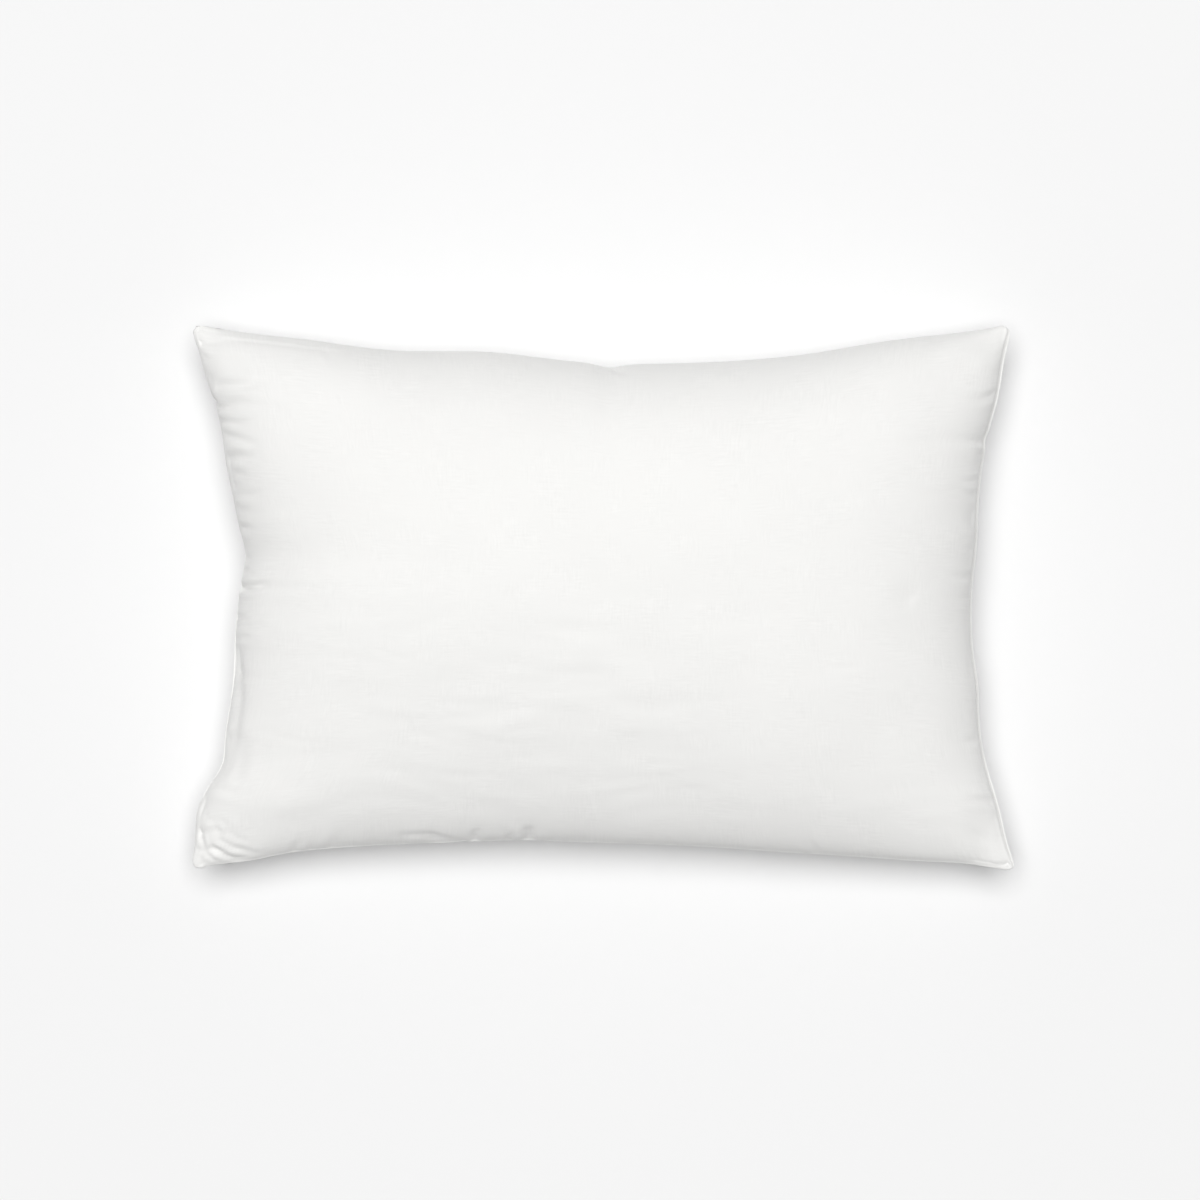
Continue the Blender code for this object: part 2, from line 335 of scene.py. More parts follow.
crown_rise = cad_high[2] - seam_height - 1 * MM
back_fall = seam_height - cad_low[2]
coarse_steps = [0, 2, 4.5, 8, 12.5, 18]
coarse_spacing = 6.6 * MM, 6.4 * MM
coarse_u = lines_in_from_seams(cut_length, coarse_steps, coarse_spacing[0])
coarse_v = lines_in_from_seams(cut_width, coarse_steps, coarse_spacing[1])
grid_u, grid_v = np.meshgrid(coarse_u, coarse_v, indexing="ij")
print("simulation grid", grid_u.shape)


# %% Settle the cloth
def settle(front, back, frames):
    """Front and back points after the cloth has settled for some frames, as two grids."""
    front_index, back_index, inside = two_layers(grid_u.shape)
    flat_u, flat_v = round_tips(grid_u, grid_v)
    rest_x, rest_y = flat_u * cut_length * rest_length / 2, flat_v * cut_width * rest_width / 2
    flat = np.stack([rest_x, rest_y, 0 * flat_u], axis=-1)
    points = np.concatenate([front.reshape(-1, 3), back[inside]])
    rest = np.concatenate([flat.reshape(-1, 3), flat[inside]])
    faces = np.concatenate([grid_quads(front_index), grid_quads(back_index)[:, ::-1]])
    cloth = mesh_object("settling", points, faces.tolist())
    cloth.shape_key_add(name="filled")
    cut = cloth.shape_key_add(name="flat cut", from_mix=False)
    cut.data.foreach_set("co", rest.astype(np.float32).ravel())
    cut.value = 0

    left, right, bottom, top = insets(grid_u, grid_v)
    left_rim, right_rim = short_side_rims(grid_v)
    held = (np.minimum(bottom, top) < plain_rim) | (left < left_rim) | (right < right_rim)
    pinned = np.unique(np.concatenate([front_index[held], back_index[held]]))
    cloth.vertex_groups.new(name="rim").add([int(i) for i in pinned], 1.0, "REPLACE")

    modifier = cloth.modifiers.new("cotton", "CLOTH")
    cotton = modifier.settings
    cotton.quality = 8
    cotton.mass = 0.1
    cotton.tension_stiffness = 80
    cotton.compression_stiffness = 60
    cotton.shear_stiffness = 10
    cotton.bending_stiffness = 1.0
    cotton.air_damping = 1
    cotton.vertex_group_mass = "rim"
    cotton.rest_shape_key = cut
    cotton.use_pressure = True
    cotton.uniform_pressure_force = 2
    cotton.effector_weights.gravity = 0
    modifier.collision_settings.distance_min = 1 * MM

    bpy.ops.mesh.primitive_plane_add(size=2, location=(middle[0], middle[1], cad_low[2] - 1 * MM))
    bed = bpy.context.object
    bed.modifiers.new("bed", "COLLISION")
    bed.collision.thickness_outer = 1 * MM

    scene.frame_start, scene.frame_end = 1, frames
    modifier.point_cache.frame_start, modifier.point_cache.frame_end = 1, frames
    for number in range(1, frames + 1):
        scene.frame_set(number)
    settled = cloth.evaluated_get(bpy.context.evaluated_depsgraph_get()).to_mesh()
    found = np.empty(len(settled.vertices) * 3, np.float32)
    settled.vertices.foreach_get("co", found)
    found = found.reshape(-1, 3).astype(float)
    bpy.data.objects.remove(cloth)
    bpy.data.objects.remove(bed)
    scene.frame_set(1)
    return found[front_index], found[back_index]


settling_frames = 25
front_start = starting_panel(grid_u, grid_v, crown_rise)
back_start = starting_panel(grid_u, grid_v, -back_fall)
weld = np.maximum(np.abs(grid_u), np.abs(grid_v)) == 1
for panel in (front_start, back_start):
    panel[weld, 2] = seam_plane(grid_u, grid_v)[weld]
front_settled, back_settled = settle(front_start, back_start, settling_frames)
print("crown", round(front_settled[..., 2].max() / MM, 1), "mm once settled")

# %% [markdown]
# ## From the settled cloth to a fine surface
#
# The simulation grid is coarse, because settling a fine one takes too long. What the cloth did is
# smooth, so it is enough to know how far each coarse point moved: a cubic spline carries that move to
# a fine grid, which starts from the same formula but can follow the turned edge and each pucker. One
# spline along the length and one across the width are two matrices, so no loop is needed.


# %% Carry the move to a fine grid
def spline_matrix(knots, places):
    """The natural cubic spline through values at knots, as a matrix that gives values at places."""
    count, gap = len(knots), np.diff(knots)
    inner = np.arange(1, count - 1)
    system, slopes = np.eye(count), np.zeros((count, count))
    system[inner, inner - 1], system[inner, inner + 1] = gap[:-1], gap[1:]
    system[inner, inner] = 2 * (gap[:-1] + gap[1:])
    slopes[inner, inner - 1], slopes[inner, inner + 1] = 6 / gap[:-1], 6 / gap[1:]
    slopes[inner, inner] = -6 / gap[:-1] - 6 / gap[1:]
    bend = np.linalg.solve(system, slopes)
    cell = np.clip(np.searchsorted(knots, places, side="right") - 1, 0, count - 2)
    width = gap[cell][:, None]
    after = (places - knots[cell])[:, None] / width
    before = 1 - after
    straight = before * np.eye(count)[cell] + after * np.eye(count)[cell + 1]
    curved = (before**3 - before) * bend[cell] + (after**3 - after) * bend[cell + 1]
    return straight + curved * width**2 / 6


edge_steps = [0, 0.13, 0.45, 1.0, 1.6, 2.2, 2.8, 3.5, 4.3, 5.2, 6.3, 7.6, 9.1]
fine_steps = edge_steps + [10.7, 12.4, 14.2, 16.1, 18.1, 20.2, 22.4, 24.8, 27.4]
fine_spacing = 3.5 * MM, 3.0 * MM
fine_u = lines_in_from_seams(2 * half_length, fine_steps, fine_spacing[0])
fine_v = lines_in_from_seams(2 * half_width, fine_steps, fine_spacing[1])
u, v = np.meshgrid(fine_u, fine_v, indexing="ij")
along_u, along_v = spline_matrix(coarse_u, fine_u), spline_matrix(coarse_v, fine_v)


def towards_top(v):
    """The v whose height is read at v: the crown moves up by a fifth, since more fibre lies there."""
    return v - 0.20 * (1 - v * v)


along_v_shifted = spline_matrix(coarse_v, towards_top(fine_v))


def refined(start, settled, rise):
    """The fine starting panel plus the settled cloth's move, which is capped and read by the splines.

    The ears keep their starting shape, because the allowances folded inside make them stiff.
    """
    move, longest = settled - start, 35 * MM
    length = np.linalg.norm(move, axis=-1, keepdims=True)
    move = move * np.minimum(1, longest / np.maximum(length, 1e-9))
    fine_move = np.einsum("ia,abk,jb->ijk", along_u, move, along_v)
    fine_move[..., 2] = along_u @ move[..., 2] @ along_v_shifted.T
    points = starting_panel(u, v, rise)
    points[..., 2] += rise * (swell(u, towards_top(v)) - swell(u, v))
    return points + out_of_ear(u, v, 4 * MM)[..., None] * fine_move


front = refined(front_start, front_settled, crown_rise)
back = refined(back_start, back_settled, -back_fall)
print("fine grid", u.shape, "crown", round(front[..., 2].max() / MM, 1), "mm")

# %% [markdown]
# ## Creases and puckers
#
# A filled casing is never quite smooth. Four kinds of mark are added along the surface's normals.
# Seam puckers are short valleys that run in from the stitching, where each panel has more cloth than
# the drawn-in seam. Slack waves are long, low ripples that lie across the lower left, where the
# filling is thinner. Lumps are broad and low, where the fibre has clumped. Single creases are the
# ones that a hand has pressed in, each with its own route, width and depth. Most marks are between a
# quarter of a millimetre and three millimetres deep, and one tuck at the left seam is five.


# %% Write the marks as functions
def seam_puckers(along, inset, seed, strength):
    """Valleys that cross the seam: bell curves of two random waves, fading with distance from the seam."""
    sway = soft_noise(along, inset, 30 * MM, seed + 7) * 4 * MM
    fine = soft_noise(along + sway, 0 * along, 5.5 * MM, seed)
    broad = soft_noise(along + sway, 0 * along, 15 * MM, seed + 1)
    where = 0.35 + 0.65 * ease(soft_noise(along, 0 * along, 45 * MM, seed + 2), -0.3, 0.6)
    short = np.exp(-((fine / 0.35) ** 2)) * np.exp(-inset / (5 * MM)) * 0.45 * MM
    long = np.exp(-((broad / 0.30) ** 2)) * np.exp(-inset / (16 * MM)) * 1.3 * MM
    return -(short + long) * where * strength * ease(inset, 1.0 * MM, 4 * MM)


def crease(x, y, route, width, depth, lip, lean=0.0):
    """A valley along a route of points in mm: a bell curve across it, with a soft ridge on both sides.

    It is deepest near its start and runs out at its end. With lean at 1 or -1, only the left or the
    right side of the route has the ridge.
    """
    points = np.array(route, float) * MM
    legs = np.linalg.norm(np.diff(points, axis=0), axis=1)
    done, total = 0, legs.sum()
    best = np.full(x.shape, 1e9)
    share, side = np.zeros(x.shape), np.zeros(x.shape)
    for start, end, leg in zip(points[:-1], points[1:], legs):
        along_x, along_y = (end - start) / leg
        from_x, from_y = x - start[0], y - start[1]
        reach = np.clip(from_x * along_x + from_y * along_y, 0, leg)
        off = np.hypot(from_x - reach * along_x, from_y - reach * along_y)
        nearer = off < best
        best = np.where(nearer, off, best)
        share = np.where(nearer, (done + reach) / total, share)
        side = np.where(nearer, along_x * from_y - along_y * from_x, side)
        done += leg
    across = best / (width * MM)
    fade = ease(share, -0.25, 0.15) * (1 - ease(share, 0.45, 1.15))
    side = np.clip(side / (width * MM), -1, 1)
    ridge = lip * (1 + lean * side) * np.exp(-(((across - 1.8) / 0.9) ** 2))
    return depth * MM * (ridge - np.exp(-(across**2))) * fade


def slack_waves(x, y, seed):
    """Long ripples that lie along the pillow: noise stretched three to five times, gently swaying."""
    sway = soft_noise(x, y, 90 * MM, seed) * 12 * MM
    narrow = soft_noise(x / 5, y + sway, 6 * MM, seed + 1)
    middling = soft_noise(x / 4, y + sway, 11 * MM, seed + 4)
    wide = soft_noise(x / 3, y + sway, 22 * MM, seed + 2)
    patch = 0.35 + 0.65 * ease(soft_noise(x, y, 60 * MM, seed + 3), -0.4, 0.6)
    return (narrow * 0.24 + middling * 0.34 + wide * 0.6) * MM * patch


def fill_lumps(x, y, seed):
    """Low swellings where the fibre has clumped."""
    return soft_noise(x, y, 42 * MM, seed) * 0.55 * MM + soft_noise(x, y, 95 * MM, seed + 1) * 1.3 * MM


# %% List the single creases of the front
# Each has its route in mm from the middle, deeper end first, then width, depth, lip and any lean.
left_creases = [
    ([(-347, 170), (-337, 168.5), (-326, 170)], 2.4, 2.8, 0.6),
    ([(-340, 188), (-314, 187), (-296, 190)], 4.0, 1.9, 0.6),
    ([(-342, 181), (-326, 180)], 2.4, 1.0, 0.5),
    ([(-340, 156), (-322, 154), (-306, 156)], 2.8, 1.8, 0.6),
    ([(-337, 145), (-322, 140), (-300, 134)], 3.0, 1.7, 0.5),
    ([(-331, 125), (-316, 124), (-304, 127)], 4.0, 2.0, 0.6),
    ([(-326, 110), (-314, 108)], 2.6, 1.2, 0.5),
    ([(-328, 92), (-312, 90), (-298, 93)], 3.2, 1.3, 0.5),
    ([(-322, 62), (-308, 60)], 3.0, 1.2, 0.5),
    ([(-322, 36), (-310, 34)], 2.6, 1.6, 0.5),
    ([(-321, 24), (-311, 25)], 2.2, 1.6, 0.5),
    ([(-326, 8), (-318, 8.5), (-306, 10), (-294, 12)], 2.8, 5.2, 0.4),
    ([(-325, -17), (-314, -18)], 2.4, 2.2, 0.5),
    ([(-326, -36), (-316, -35), (-308, -36)], 2.6, 1.8, 0.4),
    ([(-330, -46), (-325, -64), (-323, -88), (-326, -114), (-331, -142), (-338, -163)], 5.0, 2.5, 0.1),
    ([(-321, -66), (-318, -84), (-318, -100), (-321, -114)], 7.0, 0.7, 0.1),
    ([(-319, -128), (-322, -150), (-328, -172)], 6.5, 1.2, 0.2),
]
lower_left_creases = [
    ([(-343, -168), (-330, -172), (-316, -170)], 3.6, 0.9, 0.4),
    ([(-350, -206), (-341, -206), (-338, -215)], 1.9, 1.1, 0.4),
    ([(-346, -196), (-336, -199), (-328, -206)], 2.4, 0.9, 0.3),
    ([(-360, -208), (-356, -219), (-350, -233)], 2.4, 1.6, 0.3),
    ([(-356, -205), (-351, -214), (-348, -222)], 1.7, 0.8, 0.3),
    ([(-348, -222), (-336, -230), (-320, -236)], 3.0, 2.6, 0.3),
    ([(-342, -215), (-329, -222), (-312, -227), (-298, -227)], 2.6, 1.3, 0.3),
    ([(-352, -236), (-349, -228), (-350, -220)], 1.6, 0.7, 0.3),
    ([(-357, -226), (-347, -233), (-336, -237)], 1.8, 1.0, 0.3),
    ([(-354, -194), (-345, -201), (-341, -210)], 1.8, 1.1, 0.3),
    ([(-334, -206), (-326, -213), (-314, -216)], 2.2, 0.9, 0.3),
    ([(-277, -232), (-274, -221), (-268, -213)], 3.6, 1.4, 0.3),
    ([(-263, -231), (-260, -221)], 3.0, 1.2, 0.3),
    ([(-245, -229), (-242, -218), (-236, -210)], 3.6, 1.3, 0.3),
    ([(-226, -226), (-224, -216)], 3.0, 1.0, 0.3),
]
upper_left_creases = [
    ([(-338, 230), (-319, 228.6), (-280, 223.3), (-234, 217.5), (-205, 215)], 1.4, 0.55, 0.5, 0.8),
    ([(-334, 214), (-318, 206)], 5.0, 0.7, 0.3),
    ([(-246, 219), (-238, 210)], 4.0, 0.9, 0.5),
]
right_creases = [
    ([(345, 141), (333, 138), (320, 140)], 2.6, 2.4, 0.7, 0.4),
    ([(338, 106), (325, 103), (312, 104)], 3.0, 1.3, 0.5),
    ([(350, 182), (336, 176), (320, 176)], 3.4, 1.4, 0.5),
    ([(332, 20), (318, 18), (303, 20)], 3.2, 1.2, 0.5),
    ([(345, -130), (330, -126), (314, -128)], 3.0, 1.4, 0.5),
    ([(356, -186), (340, -180), (322, -178)], 3.4, 1.6, 0.5, 0.2),
    ([(338, -214), (322, -206)], 4.4, 0.7, 0.3),
]
top_creases = [
    ([(4, 208), (11, 201), (22, 196)], 2.4, 2.4, 0.7, 0.5),
    ([(-68, 210), (-62, 200)], 3.0, 1.0, 0.5),
    ([(112, 214), (106, 203), (98, 196)], 3.4, 1.2, 0.5),
    ([(328, 210), (312, 202)], 4.6, 0.6, 0.3),
]
bottom_creases = [
    ([(-136, -215), (-150, -211), (-168, -210), (-190, -212)], 3.2, 1.3, 0.15),
    ([(-114, -216), (-113, -209), (-111, -203)], 3.4, 2.4, 0.3),
    ([(-66, -214), (-66, -207), (-64, -201)], 5.2, 3.0, 0.3),
    ([(-84, -214), (-82, -207)], 2.6, 1.4, 0.3),
    ([(60, -221), (56, -210)], 3.0, 1.0, 0.5),
    ([(190, -226), (182, -214)], 3.4, 1.1, 0.5),
]
middle_creases = [
    ([(-199, -44), (-182, -50), (-158, -56)], 2.2, 0.3, 0.4),
    ([(-246, -59), (-224, -63), (-200, -65)], 2.2, 0.3, 0.4),
    ([(192, -59), (208, -61), (228, -59)], 2.2, 0.25, 0.4),
    ([(-120, -120), (-84, -126), (-50, -124)], 2.4, 0.2, 0.4),
    ([(-290, -120), (-262, -126), (-238, -125)], 2.4, 0.3, 0.4),
    ([(262, 4), (272, -4)], 11.0, 1.0, 0.2),
]
front_creases = left_creases + lower_left_creases + upper_left_creases + right_creases
front_creases += top_creases + bottom_creases + middle_creases
print(len(front_creases), "creases on the front")


# %% Press the marks into both panels
def normals(points):
    """Unit normals of a grid of points, upwards where the grid's own axes run along x and y."""
    step_u, step_v = np.gradient(points, axis=0), np.gradient(points, axis=1)
    across = np.cross(step_u, step_v)
    return across / np.maximum(np.linalg.norm(across, axis=-1, keepdims=True), 1e-12)


left_pull, right_pull, bottom_pull, top_pull = 2.2, 1.9, 1.6, 0.9


def marks(points, seed, creases):
    """Height of all the marks over a panel, zero on the turned edge."""
    x, y = points[..., 0] - middle[0], points[..., 1] - middle[1]
    left, right, bottom, top = insets(u, v)
    right = np.clip(right - stitched_rim, 0, None)
    height = seam_puckers(y, left, seed, left_pull) + seam_puckers(y, right, seed + 10, right_pull)
    height += seam_puckers(x, bottom, seed + 20, bottom_pull) + seam_puckers(x, top, seed + 30, top_pull)
    nearest = np.minimum(np.minimum(left, right), np.minimum(bottom, top))
    lower_left = 0.35 + 0.65 * ease(-x * 0.6 - y, -60 * MM, 160 * MM)
    height += slack_waves(x, y, seed + 40) * lower_left * ease(nearest, 10 * MM, 50 * MM)
    height += fill_lumps(x, y, seed + 50) * ease(nearest, 10 * MM, 60 * MM)
    for route, *shape in creases:
        height += crease(x, y, route, *shape) * ease(nearest, 0.3 * MM, 3 * MM)
    return height


shared_creases = left_creases[:9] + right_creases[2:]
back_creases = [([(-x, y) for x, y in route], *shape) for route, *shape in shared_creases]
front_marks, back_marks = marks(front, 11, front_creases), marks(back, 211, back_creases)
front += normals(front) * front_marks[..., None]
back -= normals(back) * back_marks[..., None]
level = seam_plane(u, v)
crown_now = (front[..., 2] - level).max()
front[..., 2] = level + (front[..., 2] - level) * (1 + (crown_rise / crown_now - 1) * swell(u, v))
back[..., 2] = np.maximum(back[..., 2] - back[..., 2].min(), 0) + cad_low[2]
print("crown", round(front[..., 2].max() / MM, 1), "mm, marks pressed in")

# %% [markdown]
# ## The two panels
#
# Each panel is cloth 0.35 mm thick. It is cut 10 mm larger than the seam on every side, and once the
# casing is turned right side out, that allowance lies inside, behind the turned edge. So the surface
# doesn't stop at the outline: it rolls round it and runs back in. The rings below are copies of the
# outline, each a little further in. The Solidify modifier gives the cloth its thickness on the inside.


# %% Roll the edge and add the allowance
ply_thickness = 0.35 * MM


def edge_loop(shape):
    """Indices of a grid's outer points, once round, anticlockwise from above."""
    index = np.arange(shape[0] * shape[1]).reshape(shape)
    return np.concatenate([index[:-1, 0], index[-1, :-1], index[:0:-1, -1], index[0, :0:-1]])


under_turn = turn_height - turn_radius
allowance_steps = np.array([0.13, 0.45, 2.0, 4.5, 7.5, 10.0]) * MM
rolled = np.sqrt(1 - np.clip(1 - allowance_steps / turn_radius, 0, 1) ** 2)
allowance_lift = turn_height - turn_radius * rolled
rim_loop = edge_loop(u.shape)
loop_u, loop_v = u.ravel()[rim_loop], v.ravel()[rim_loop]


def inward(distance):
    """u and v of the outline, taken in by a distance: both shrink, so the rings turn the corners."""
    return loop_u * (1 - distance / half_length), loop_v * (1 - distance / half_width)


def panel_mesh(name, points, side):
    """A panel as one mesh: the grid, then a ring of quads for each step of the rolled edge."""
    count, around = points.shape[0] * points.shape[1], len(rim_loop)
    body = grid_quads(np.arange(count).reshape(points.shape[:2]))
    cut_u, cut_v = round_tips(u, v)
    flat = [np.stack([cut_u * cut_length / 2, cut_v * cut_width / 2], axis=-1).reshape(-1, 2)]
    rings, faces, before = [points.reshape(-1, 3)], [body], rim_loop
    for number, (step, lift) in enumerate(zip(allowance_steps, allowance_lift)):
        ring_u, ring_v = inward(step)
        x, y = plan(ring_u, ring_v)
        rings.append(np.stack([x, y, seam_plane(ring_u, ring_v) + side * lift], axis=-1))
        flat.append(flat[0][rim_loop] * (1 + step / half_width))
        ring = count + number * around + np.arange(around)
        faces.append(np.stack([np.roll(before, -1), before, ring, np.roll(ring, -1)], axis=-1))
        before = ring
    panel = mesh_object(name, np.concatenate(rings), np.concatenate(faces)[:, ::side].tolist())
    mesh = panel.data
    corner = np.empty(len(mesh.loops), np.int32)
    mesh.loops.foreach_get("vertex_index", corner)
    cut = np.concatenate(flat)[corner].astype(np.float32)
    mesh.uv_layers.new(name="cut").data.foreach_set("uv", cut.ravel())
    mesh.shade_smooth()
    ply = panel.modifiers.new("ply", "SOLIDIFY")
    ply.thickness = ply_thickness
    ply.offset = -1
    return panel


front_panel = panel_mesh("front_panel_cloth", front, 1)
back_panel = panel_mesh("back_panel_cloth", back, -1)
print("each panel has", len(front_panel.data.polygons), "faces before it gets its thickness")

# %% [markdown]
# ## The fibre fill
#
# The filling is carded polyester fibre: one loose, springy mass that pushes the panels out. It isn't
# seen, but it is a part of its own, so it is made as a closed body just under the panels. It takes
# every second line of the panels' grid, sits one to three millimetres below the cloth and deeper
# under a crease, and stops short of the seam allowances. Its surface is lumpy, because fibre clumps.


# %% Make the filling
def under_valleys(height):
    """How far each point must sink to be as low as the lowest mark within three grid lines."""
    lowest = height
    for shift in (1, -1, 2, -2):
        for axis in (0, 1):
            lowest = np.minimum(lowest, np.roll(lowest, shift, axis))
    return height - lowest


def fill_body(name):
    """A closed body: the front grid sunk below its panel, the back grid the same, joined at the nose.

    No point sinks by more than 0.3 of the room between the panels.
    """
    nose, mean_depth = 14 * MM, 2.2
    keep_u = np.flatnonzero(np.minimum(1 + fine_u, 1 - fine_u) * half_length > nose)[::2]
    keep_v = np.flatnonzero(np.minimum(1 + fine_v, 1 - fine_v) * half_width > nose)[::2]
    pick = np.ix_(keep_u, keep_v)
    top, under = front[pick], back[pick]
    sunk = (mean_depth + soft_noise(top[..., 0], top[..., 1], 11 * MM, 77)) * MM
    room = 0.3 * (top - under)[..., 2]
    front_depth = np.minimum(sunk + under_valleys(front_marks)[pick], room)
    back_depth = np.minimum(sunk + under_valleys(back_marks)[pick], room)
    top = top - normals(front)[pick] * front_depth[..., None]
    under = under + normals(back)[pick] * back_depth[..., None]
    top_index, under_index, inside = two_layers(top.shape[:2])
    loop = edge_loop(inside.shape)
    top.reshape(-1, 3)[loop] = (top.reshape(-1, 3)[loop] + under.reshape(-1, 3)[loop]) / 2
    points = np.concatenate([top.reshape(-1, 3), under[inside]])
    faces = np.concatenate([grid_quads(top_index), grid_quads(under_index)[:, ::-1]])
    body = mesh_object(name, points, faces.tolist())
    body.data.shade_smooth()
    return body


filling = fill_body("fibre_fill_body")
print("filling", len(filling.data.polygons), "faces")

# %% [markdown]
# ## The sewing
#
# Five threads hold the casing. On three sides, a needle thread and a looper thread lock the panels
# together just inside the fold, and an overlock thread wraps the raw edges of the allowances. The
# fourth side is shut from outside after filling: its stitches are seen on the front, a little in from
# the edge, and its bobbin stitches on the back. The hidden threads are tubes swept along a path. The
# closing stitches are many small capsules, each bedded in the cloth, so each has only a few faces.


# %% Sweep a tube along a path
def tube_points(path, radius, sides):
    """Rings round a path, each a circle square to the path's direction."""
    direction = np.gradient(path, axis=0)
    direction /= np.linalg.norm(direction, axis=1, keepdims=True)
    sideways = np.cross(direction, [0.0, 0.0, 1.0])
    sideways /= np.maximum(np.linalg.norm(sideways, axis=1, keepdims=True), 1e-9)
    upright = np.cross(sideways, direction)
    angle = np.linspace(0, 2 * np.pi, sides, endpoint=False)[None, :, None]
    radius = np.broadcast_to(radius, len(path))[:, None, None]
    circle = np.cos(angle) * sideways[:, None] + np.sin(angle) * upright[:, None]
    return path[:, None] + radius * circle


def tube_faces(rings, sides):
    """Quads between neighbouring rings, and a cap at both ends."""
    index = np.arange(rings * sides).reshape(rings, sides)
    turned = np.roll(index, -1, axis=1)
    walls = np.stack([index[:-1], index[1:], turned[1:], turned[:-1]], axis=-1).reshape(-1, 4)
    return walls, index[0], index[-1][::-1]


def thread_object(name, strands, sides):
    """One object from many tubes. Each strand is a path and the radius along it."""
    points, faces, done = [], [], 0
    for path, radius in strands:
        points.append(tube_points(path, radius, sides).reshape(-1, 3))
        walls, first, last = tube_faces(len(path), sides)
        faces += (walls + done).tolist() + [(first + done).tolist(), (last + done).tolist()]
        done += len(path) * sides
    thread = mesh_object(name, np.concatenate(points), faces)
    thread.data.shade_smooth()
    tubes = bmesh.new()
    tubes.from_mesh(thread.data)
    bmesh.ops.recalc_face_normals(tubes, faces=tubes.faces)
    tubes.to_mesh(thread.data)
    tubes.free()
    return thread


# %% Lay the hidden threads round three sides
def three_sides(inset, spacing):
    """u and v along the top, left and bottom seams at an inset, from the closed side and back to it."""
    start = 12 * MM
    reach_u, reach_v = half_length - inset, half_width - inset
    straight = 2 * half_length - inset - start
    top = np.linspace(reach_u - start, -reach_u, int(straight / spacing))
    left = np.linspace(reach_v, -reach_v, int(2 * reach_v / spacing))[1:-1]
    route_u = np.concatenate([top, np.full(len(left), -reach_u), top[::-1]]) / half_length
    route_v = np.concatenate([np.full(len(top), reach_v), left, np.full(len(top), -reach_v)]) / half_width
    return route_u, route_v


def on_seam(route_u, route_v, lift):
    """Points over a route at a lift from the seam plane."""
    x, y = plan(route_u, route_v)
    return np.stack([x, y, seam_plane(route_u, route_v) + lift], axis=-1)


seam_inset, seam_step, seam_thread_radius = 1.5 * MM, 1.5 * MM, 0.12 * MM
lock_u, lock_v = three_sides(seam_inset, seam_step)
ply_top = under_turn + ply_thickness
needle_lift = ply_top + 0.15 * MM + 0.05 * MM * np.cos(np.arange(len(lock_u)) * np.pi)
needle_path, looper_path = on_seam(lock_u, lock_v, needle_lift), on_seam(lock_u, lock_v, -needle_lift)
needle_thread = thread_object("seam_needle_stitches", [(needle_path, seam_thread_radius)], 5)
looper_thread = thread_object("seam_looper_stitches", [(looper_path, seam_thread_radius)], 5)

# The overlock thread is a flat spiral round both raw edges: over, down past the edge, under and back.
loop_pitch, loop_reach, steps_per_loop = 2.6 * MM, 3.5 * MM, 8
allowance, past_edge = 10 * MM, 0.6 * MM
wrap_u, wrap_v = three_sides(allowance, loop_pitch / steps_per_loop)
phase = np.arange(len(wrap_u)) * 2 * np.pi / steps_per_loop
wrap_inset = allowance + past_edge - loop_reach / 2 * (1 - np.cos(phase))
nearly = allowance + 0.01 * MM
side_u = (1 - np.abs(wrap_u)) * half_length < nearly
side_v = (1 - np.abs(wrap_v)) * half_width < nearly
wrap_u = np.where(side_u, np.sign(wrap_u) * (1 - wrap_inset / half_length), wrap_u)
wrap_v = np.where(side_v, np.sign(wrap_v) * (1 - wrap_inset / half_width), wrap_v)
overlock = on_seam(wrap_u, wrap_v, (ply_top + 0.25 * MM) * np.sin(phase))
overlock_thread = thread_object("overlock_stitches", [(overlock, 0.2 * MM)], 4)
print("overlock thread", len(overlock_thread.data.polygons), "faces")


# %% Stitch the fourth side shut
def surface_at(points, place_u, place_v):
    """Points of a panel at u and v, read along the grid lines by linear interpolation."""

    def cell_and_share(lines, place):
        cell = np.clip(np.searchsorted(lines, place, side="right") - 1, 0, len(lines) - 2)
        return cell, ((place - lines[cell]) / (lines[cell + 1] - lines[cell]))[:, None]

    cell_u, share_u = cell_and_share(fine_u, place_u)
    cell_v, share_v = cell_and_share(fine_v, place_v)
    near = points[cell_u, cell_v] * (1 - share_v) + points[cell_u, cell_v + 1] * share_v
    far = points[cell_u + 1, cell_v] * (1 - share_v) + points[cell_u + 1, cell_v + 1] * share_v
    return near * (1 - share_u) + far * share_u


stitch_pitch, stitch_length, stitch_radius = 3.3 * MM, 2.7 * MM, 0.2 * MM
closing_inset, closing_margin, wander = 2.7 * MM, 9 * MM, 0.12 * MM
rng = np.random.default_rng(41)
places = np.arange(closing_margin, 2 * half_width - closing_margin, stitch_pitch)
places = places + rng.normal(0, 0.10 * MM, len(places))


def closing_stitches(name, points, side, shift):
    """A row of capsules on the stitched rim: their ends dip into the cloth, as a pulled thread's do."""
    strands = []
    for number, place in enumerate(places + shift):
        across = closing_inset + wander * math.sin(number * 1.7)
        run = place + stitch_length * np.array([-0.5, -0.42, -0.2, 0.0, 0.2, 0.42, 0.5])
        path = surface_at(points, np.full(7, 1 - across / half_length), run / half_width - 1)
        path[:, 2] += side * stitch_radius * np.array([-1.6, -0.3, 0.5, 0.7, 0.5, -0.3, -1.6])
        strands.append((path, stitch_radius * np.array([0.5, 0.9, 1, 1, 1, 0.9, 0.5])))
    return thread_object(name, strands, 6)


closing_needle = closing_stitches("closing_needle_stitches", front, 1, 0)
closing_bobbin = closing_stitches("closing_bobbin_stitches", back, -1, 0.2 * MM)
print(len(places), "closing stitches on each side")

